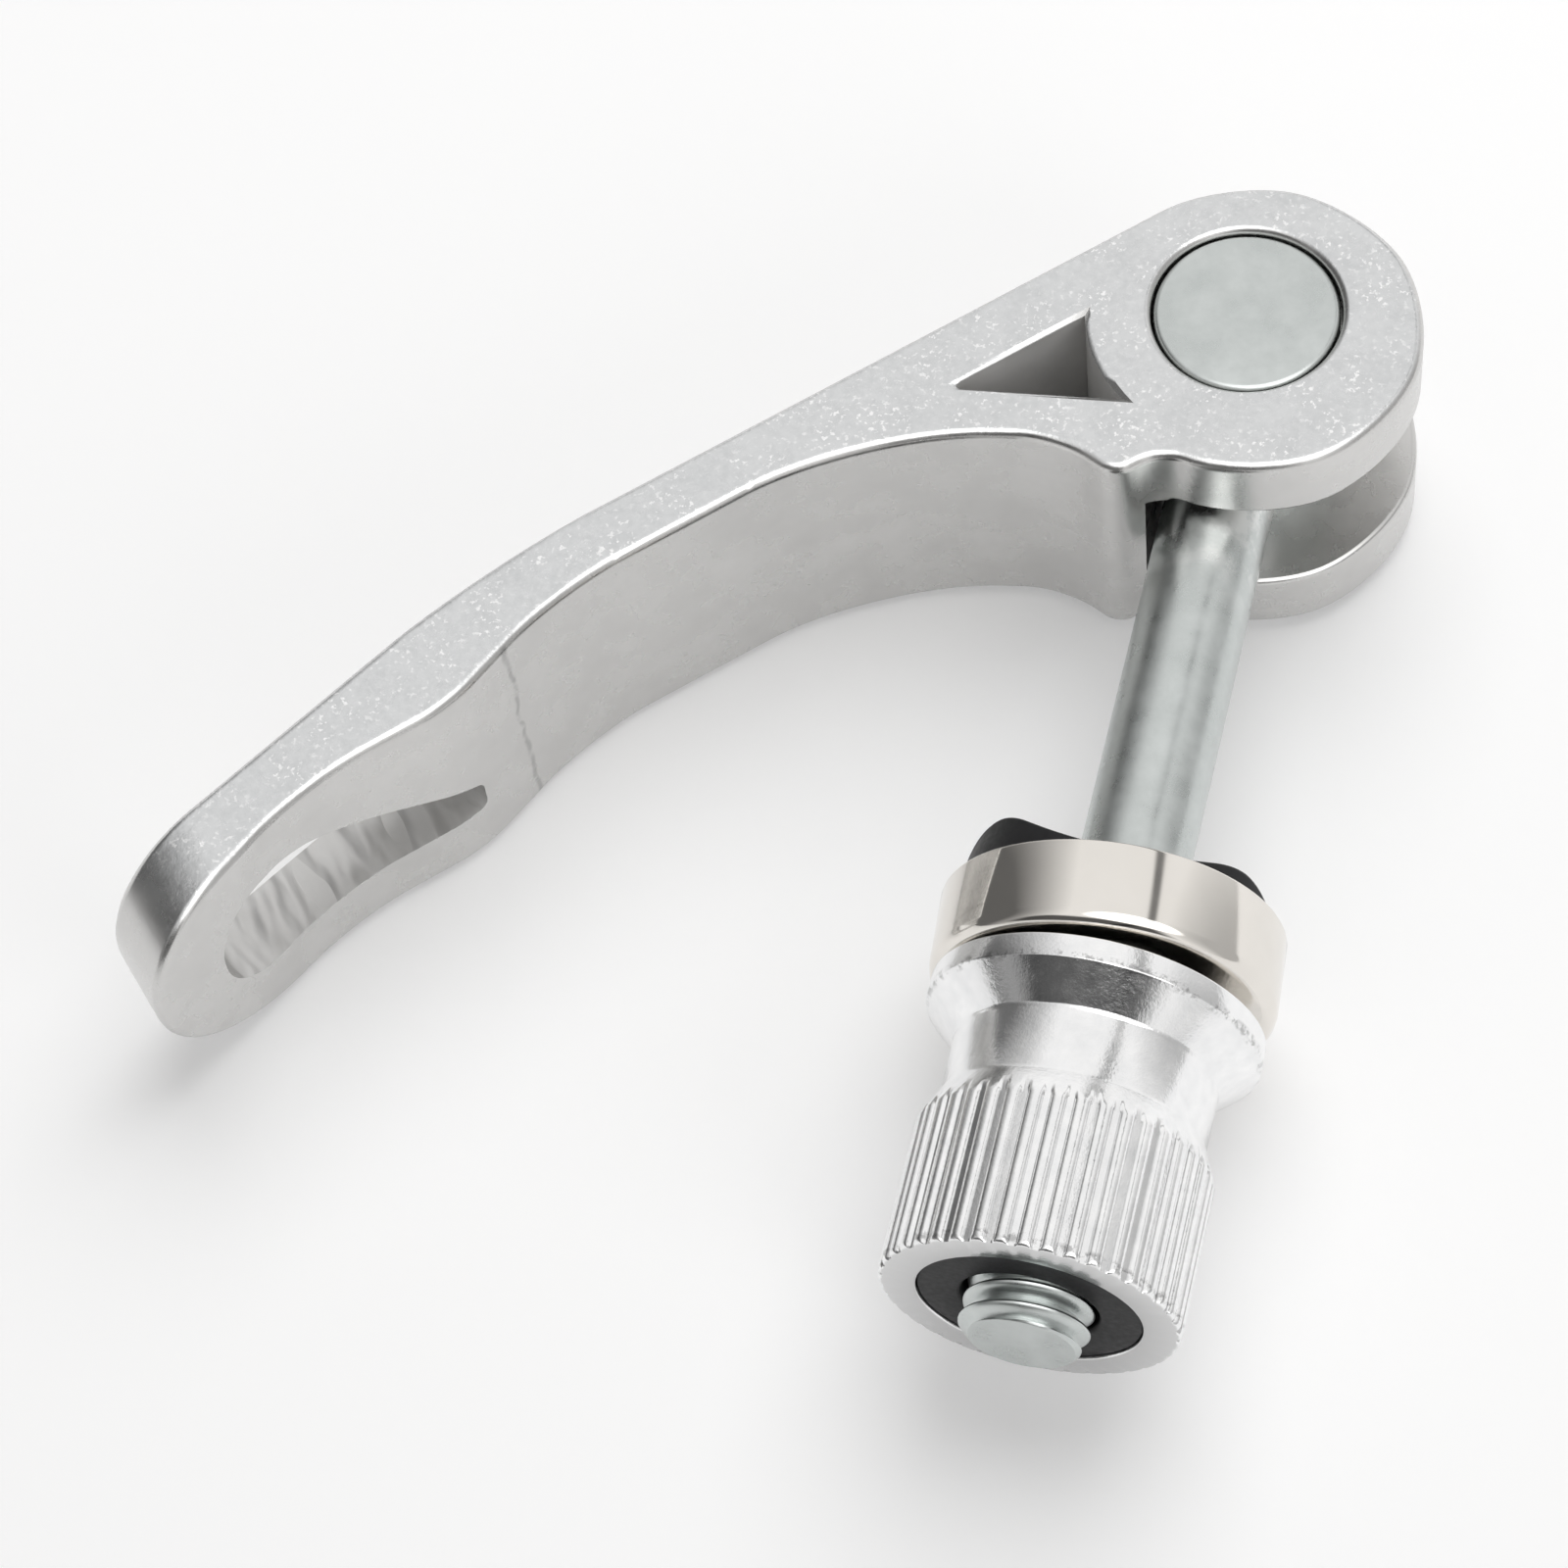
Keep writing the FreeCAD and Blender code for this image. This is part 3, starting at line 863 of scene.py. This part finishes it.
def fluted_nut():
    flare = []
    for step in range(1, flare_steps):
        share = step / flare_steps
        flare.append((waist_radius + (grip_radius - waist_radius) * share,
                      waist_end + (grip_top - waist_end) * share, 0))
    shape = turned([
        (nut_bore + bore_chamfer, nut_face, 0.05),
        (flange_radius, nut_face, 0.12),
        (flange_radius, flange_edge, 0.12),
        (waist_radius, waist_top, 0.35),
        (waist_radius, waist_end, 0),
        *flare,
        (grip_radius, grip_top, 0),
        (grip_radius, nut_end, 0.3),
        (pocket_radius, nut_end, 0.1),
        (pocket_radius, pocket_floor, 0),
        (nut_bore, pocket_floor, 0),
        (nut_bore, nut_face - bore_chamfer, 0),
    ], around=rib_count * columns_per_rib)
    for vert in shape.verts:
        radius = math.hypot(vert.co.x, vert.co.z)
        if vert.co.y > (waist_end + rib_run) * mm or radius < (pocket_radius + end_face_margin) * mm:
            continue
        wanted = min(radius, rib_wall(math.atan2(vert.co.z, vert.co.x)) * mm)
        vert.co.x *= wanted / radius
        vert.co.z *= wanted / radius
    return shape


dress("fluted_nut", fluted_nut(), alloy, "clamp_nut", sharp=55)

# %% [markdown]
# ## Lock insert
# A nylon ring in the nut's end grips the thread, so that the nut does not work loose. A spin of four
# rounded corners is all it needs, because it is pressed in flush.

# %% Lock insert
insert_low, insert_high = box_mm("lock_insert")
insert_bore = 3.175

dress("lock_ring", turned([
    (insert_bore, insert_low[1], 0.2),
    (insert_high[0], insert_low[1], 0.1),
    (insert_high[0], insert_high[1], 0.1),
    (insert_bore, insert_high[1], 0.1),
]), nylon, "lock_insert")

# %% [markdown]
# ## Drawn cup
# The cup is drawn from sheet, so its bottom corner is round and its wall is thin. It has play on the rod
# and leans on the nut's flange. A leaning section can't be spun, so the cup is spun upright and tilted as a
# whole.

# %% Drawn cup
cup_lean = 4.0
seat_gap = 0.05
cup_base = nut_face + flange_radius * math.tan(math.radians(cup_lean)) + seat_gap
cup_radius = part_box("cup_ring")[1].z / mm
cup_wall = 0.4
cup_height = 4.2
washer_bore = 3.425


def lean(shape):
    rolled(shape, cup_lean, "Z")
    bmesh.ops.translate(shape, vec=(0, cup_base * mm, 0), verts=shape.verts)
    return shape


dress("drawn_cup", lean(turned([
    (washer_bore, 0, 0.1),
    (cup_radius, 0, 0.7),
    (cup_radius, cup_height, 0.14),
    (cup_radius - cup_wall, cup_height, 0.14),
    (cup_radius - cup_wall, cup_wall, 0.3),
    (washer_bore, cup_wall, 0.1),
], around=192)), nickel, "cup_ring", sharp=50)

# %% [markdown]
# ## Moulded saddle
# From above the saddle is a disc, and from the side it has two blunt horns and a hollow between them for
# the round of the seat collar. So a disc with rounded edges is spun first, and then each of its points is
# pressed down in the same share as the side view is lower there. It is loose in the cup and tips the other
# way.

# %% Moulded saddle
saddle_tilt = -7.0
saddle_height = 4.55
saddle_shift = math.tan(math.radians(saddle_tilt)) * (cup_height - cup_wall) / 2
saddle_fit = 0.02
saddle_radius = cup_radius - cup_wall - abs(saddle_shift) - saddle_fit
saddle_rise = cup_wall + seat_gap + saddle_radius * math.sin(math.radians(abs(saddle_tilt)))
seat_radius = 9.25
seat_depth = 1.6
horn_round = 1.7
crest_blend = 0.5
ring_count = 18


def side_height(x):
    """Height of the side view: the lower of the rounded horn and the hollow, blended where they meet."""
    past = max(0.0, abs(x) - (saddle_radius - horn_round))
    horn = saddle_height - horn_round + math.sqrt(max(0.0, horn_round ** 2 - past ** 2))
    hollow = saddle_height - seat_depth + seat_radius - math.sqrt(seat_radius ** 2 - x ** 2)
    share = min(1.0, max(0.0, 0.5 + 0.5 * (hollow - horn) / crest_blend))
    return horn * share + hollow * (1 - share) - crest_blend * share * (1 - share)


def moulded_saddle():
    ring_step = (saddle_radius - washer_bore) / ring_count
    rings = [(washer_bore + ring_step * index, saddle_height, 0) for index in range(ring_count - 1, 0, -1)]
    shape = turned([
        (washer_bore, 0, 0.1),
        (saddle_radius, 0, 0.3),
        (saddle_radius, saddle_height, 0.2),
        *rings,
        (washer_bore, saddle_height, 0.1),
    ], around=160)
    for vert in shape.verts:
        vert.co.y *= side_height(vert.co.x / mm) / saddle_height
    rolled(shape, saddle_tilt, "Z")
    bmesh.ops.translate(shape, vec=(saddle_shift * mm, saddle_rise * mm, 0), verts=shape.verts)
    return lean(shape)


dress("moulded_saddle", moulded_saddle(), nylon, "saddle_washer", sharp=60)

# %% [markdown]
# ## Lever from the side
# The lever is drawn along its own arm: the first value of a corner runs along it from the pin, the second
# one across it. Its cam is a disc set off the pin's axis, which is what pulls the rod when the lever
# swings. From there the outline runs along the back to the bent paddle, over the tip and the thumb's crest,
# down the slim arm and over the heel, which blends into the cam.

# %% Lever from the side
lever_low, lever_high = box_mm("cam_lever")
lever_width = lever_high[2] - lever_low[2]
lever_length = 61.4
cam_centre = (0.3, 0.95)
cam_radius = cam_centre[1] - lever_back
heel_foot = (11.5, 1.2, 6.0)
heel_end = 10.3
heel_top = 4.6
heel_corner = 1.3
heel_blend = math.radians(8)
arm_top = lever_back + 3.25
arm_root = (19.2, arm_top, 20.0)
arm_end = (35.6, arm_top, 19.0)
paddle_bend = 38.1
paddle_bend_round = 51.0
paddle_angle = math.radians(13.5)
crest_at, crest_thickness, crest_round = 42.9, 4.85, 8.5
dip_at, dip_thickness, dip_round = 50.6, 3.1, 18.0
tip_thickness = 4.7
overrun = 4.0


def back_at(u):
    return lever_back + (u - paddle_bend) * math.tan(paddle_angle)


def lever_side():
    over = lever_length + overrun
    dip = back_at(dip_at) + dip_thickness
    tip_top = back_at(lever_length) + tip_thickness
    over_top = tip_top + (tip_top - dip) / (lever_length - dip_at) * overrun
    cam_start = math.asin((heel_top - cam_centre[1]) / cam_radius) + heel_blend
    blend_end_u = cam_centre[0] + cam_radius * math.cos(cam_start)
    blend_end_v = cam_centre[1] + cam_radius * math.sin(cam_start)
    run = (blend_end_v - heel_top) / math.cos(cam_start)
    return outline([
        (paddle_bend, lever_back, paddle_bend_round),
        (over, back_at(over), 0),
        (over, over_top, 0),
        (dip_at, dip, dip_round),
        (crest_at, back_at(crest_at) + crest_thickness, crest_round),
        arm_end,
        arm_root,
        heel_foot,
        (heel_end, heel_top, heel_corner),
        (blend_end_u + run * math.sin(cam_start), heel_top, run / math.tan(math.pi / 4 - cam_start / 2)),
        *arc_corners(cam_centre, cam_radius, math.degrees(cam_start), 270, 5),
    ])


print("lever width mm:", round(lever_width, 2))

# %% [markdown]
# ## Lever blank
# The side view is made thick and kept only where the plan with the rounded tip stands. Tumbling rounded the
# whole rim, and that bright line is what the eye finds first. A Bevel modifier at the very end would trip
# over the short edges that the cuts leave, so the rim is rounded here, while the blank is still simple.
# Points that nearly meet are merged first, because a rounding wider than the edges beside it folds over.

# %% Lever blank
tip_rounds = (8.3, 5.6)
plan_start = -20.0
plan_height = 60.0
rim_round = 0.5
rim_angle = math.radians(35)
flat_angle = math.radians(0.5)
merge_gap = 0.1
heel_reach = 12.0


def runs_upright(edge):
    """Whether an edge is one of the heel's corners, which stay sharp beside the rod."""
    low, high = edge.verts
    return abs(high.co.z - low.co.z) > 0.9 * edge.calc_length() and low.co.x < heel_reach * mm


def lever_blank():
    half = lever_width / 2
    plan = outline([
        (plan_start, -half, 0),
        (lever_length, -half, tip_rounds[0]),
        (lever_length, half, tip_rounds[1]),
        (plan_start, half, 0),
    ])
    plan = rolled(thick(plan, plan_height), 90, "X")
    blank = cut(thick(lever_side(), lever_width + 2), plan, "INTERSECT")
    bmesh.ops.remove_doubles(blank, verts=blank.verts, dist=merge_gap * mm)
    bmesh.ops.dissolve_limit(blank, angle_limit=flat_angle, verts=blank.verts, edges=blank.edges)
    sharp_edges = [edge for edge in blank.edges if edge.calc_face_angle(0.0) > rim_angle]
    rim = [edge for edge in sharp_edges if not runs_upright(edge)]
    bmesh.ops.bevel(blank, geom=rim, offset=rim_round * mm, offset_type="OFFSET", segments=4, profile=0.5,
                    affect="EDGES", material=-1, clamp_overlap=False, loop_slide=True)
    return blank


print("rim rounding mm:", rim_round)

# %% [markdown]
# ## Slot and pin bore
# A slot between the two cheeks lets the rod swing, from just past closed to wide open, so its outline
# follows the swept rod. A bore takes the pin. Its cutter is turned with a flare at both ends, and so it
# leaves a rounded rim that needs no rounding afterwards.

# %% Slot and pin bore
slot_width = 6.4
slot_hub = 4.9
slot_half = 2.75
slot_run = 40.0
rod_closed = 44.3
rod_open = 196.3
bore_radius = 4.6
bore_round = 0.4
flare_width = 2.0
flare_height = 1.0
above_face = 0.002


def at_angle(reach, degrees):
    return reach * math.cos(math.radians(degrees)), reach * math.sin(math.radians(degrees))


def rod_slot():
    meet = math.degrees(math.asin(slot_half / slot_hub))
    reach = math.hypot(slot_run, slot_half)
    spread = math.degrees(math.atan(slot_half / slot_run))
    return thick(outline([
        (*at_angle(reach, rod_closed - spread), 0),
        (*at_angle(slot_hub, rod_closed - meet), 0),
        *arc_corners((0, 0), slot_hub, rod_closed - meet, rod_open + meet - 360, 3),
        (*at_angle(slot_hub, rod_open + meet), 0),
        (*at_angle(reach, rod_open + spread), 0),
        (*at_angle(3 * reach, (rod_closed + rod_open) / 2), 0),
    ]), slot_width)


def pin_bore():
    face = lever_width / 2 + above_face
    wide = bore_radius + flare_width
    return rolled(turned([
        (0, face + flare_height, 0),
        (wide, face + flare_height, 0),
        (wide, face, 0),
        (bore_radius, face, bore_round),
        (bore_radius, -face, bore_round),
        (wide, -face, 0),
        (wide, -face - flare_height, 0),
        (0, -face - flare_height, 0),
    ]), 90, "X")


print("slot from degrees:", rod_closed, "to", rod_open)

# %% [markdown]
# ## Windows and finger hole
# A three-sided window lightens each cheek below the hub, and one of its sides follows the hub. Its edges
# are broken: a tapered copy of the cutter goes in a little way from each side. The finger hole is a
# teardrop through the paddle and leans with it.

# %% Windows and finger hole
window_hub = 7.75
window_round = 0.25
window_middle = (9.5, -2.6)
window_inradius = 1.35
window_break = 0.2
taper_reach = 0.3
hole_lean = 17.0
hole_start = 39.9
hole_slope_end = 49.8
hole_rim = 3.63
hole_half = 3.5
hole_narrow = 2.0
hole_narrow_round = 0.55
hole_end_round = 3.25
hole_slope_round = 6.0


def cheek_window():
    corners = [(window_far, window_floor, window_round), (0, window_apex, 0), (0, window_floor, 0)]
    plate = thick(outline(corners), lever_width + 4)
    return cut(plate, bar(window_hub, lever_width + 8, (0, 0, 1)))


def window_taper(side):
    """The window's cutter made a short taper on one side, which grows outwards about the window's middle."""
    shape = cheek_window()
    middle_u, middle_v = window_middle[0] * mm, window_middle[1] * mm
    for vert in shape.verts:
        past_face = taper_reach if vert.co.z * side > 0 else -taper_reach
        grow = 1 + (past_face + window_break) / window_inradius
        vert.co.x = middle_u + (vert.co.x - middle_u) * grow
        vert.co.y = middle_v + (vert.co.y - middle_v) * grow
        vert.co.z = side * (lever_width / 2 + past_face) * mm
    return shape


def finger_hole():
    lean_angle = math.radians(hole_lean)
    tip_middle = back_at(lever_length) + tip_thickness / 2
    end = lever_length * math.cos(lean_angle) - hole_rim + tip_middle * math.sin(lean_angle)
    teardrop = outline([
        (hole_start, hole_narrow - hole_half, hole_narrow_round),
        (hole_start, -hole_half, hole_narrow_round),
        (end, -hole_half, hole_end_round),
        (end, hole_half, hole_end_round),
        (hole_slope_end, hole_half, hole_slope_round),
    ])
    return rolled(rolled(thick(teardrop, plan_height), 90, "X"), hole_lean, "Z")


print("finger hole leans by degrees:", hole_lean)

# %% [markdown]
# ## Forged lever
# The blank is cut by each tool in turn. Only the edges where the slot comes out of the cam are left to
# round: they get a bevel weight, and the Bevel modifier does the rest. Last of all the lever turns to its
# place about the pin.

# %% Forged lever
slot_round = 0.25
on_cam = 0.15
on_slot_face = 0.01


def soften(shape):
    """Weigh the edges between the slot and the outside of the cam."""
    weight = shape.edges.layers.float.new("bevel_weight_edge")
    for edge in shape.edges:
        middle = (edge.verts[0].co + edge.verts[1].co) / 2 / mm
        off_cam = math.hypot(middle.x - cam_centre[0], middle.y - cam_centre[1]) - cam_radius
        off_face = abs(middle.z) - slot_width / 2
        if abs(off_cam) < on_cam and abs(off_face) < on_slot_face:
            edge[weight] = 1.0


def cam_lever():
    shape = lever_blank()
    for tool in (rod_slot(), pin_bore(), cheek_window(), window_taper(1), window_taper(-1), finger_hole()):
        shape = cut(shape, tool)
    bmesh.ops.dissolve_limit(shape, angle_limit=flat_angle, verts=shape.verts, edges=shape.edges)
    soften(shape)
    return rolled(shape, math.degrees(lever_turn), "Z")


dress("forged_lever", cam_lever(), lever_metal, "cam_lever", sharp=35, rounding=slot_round)
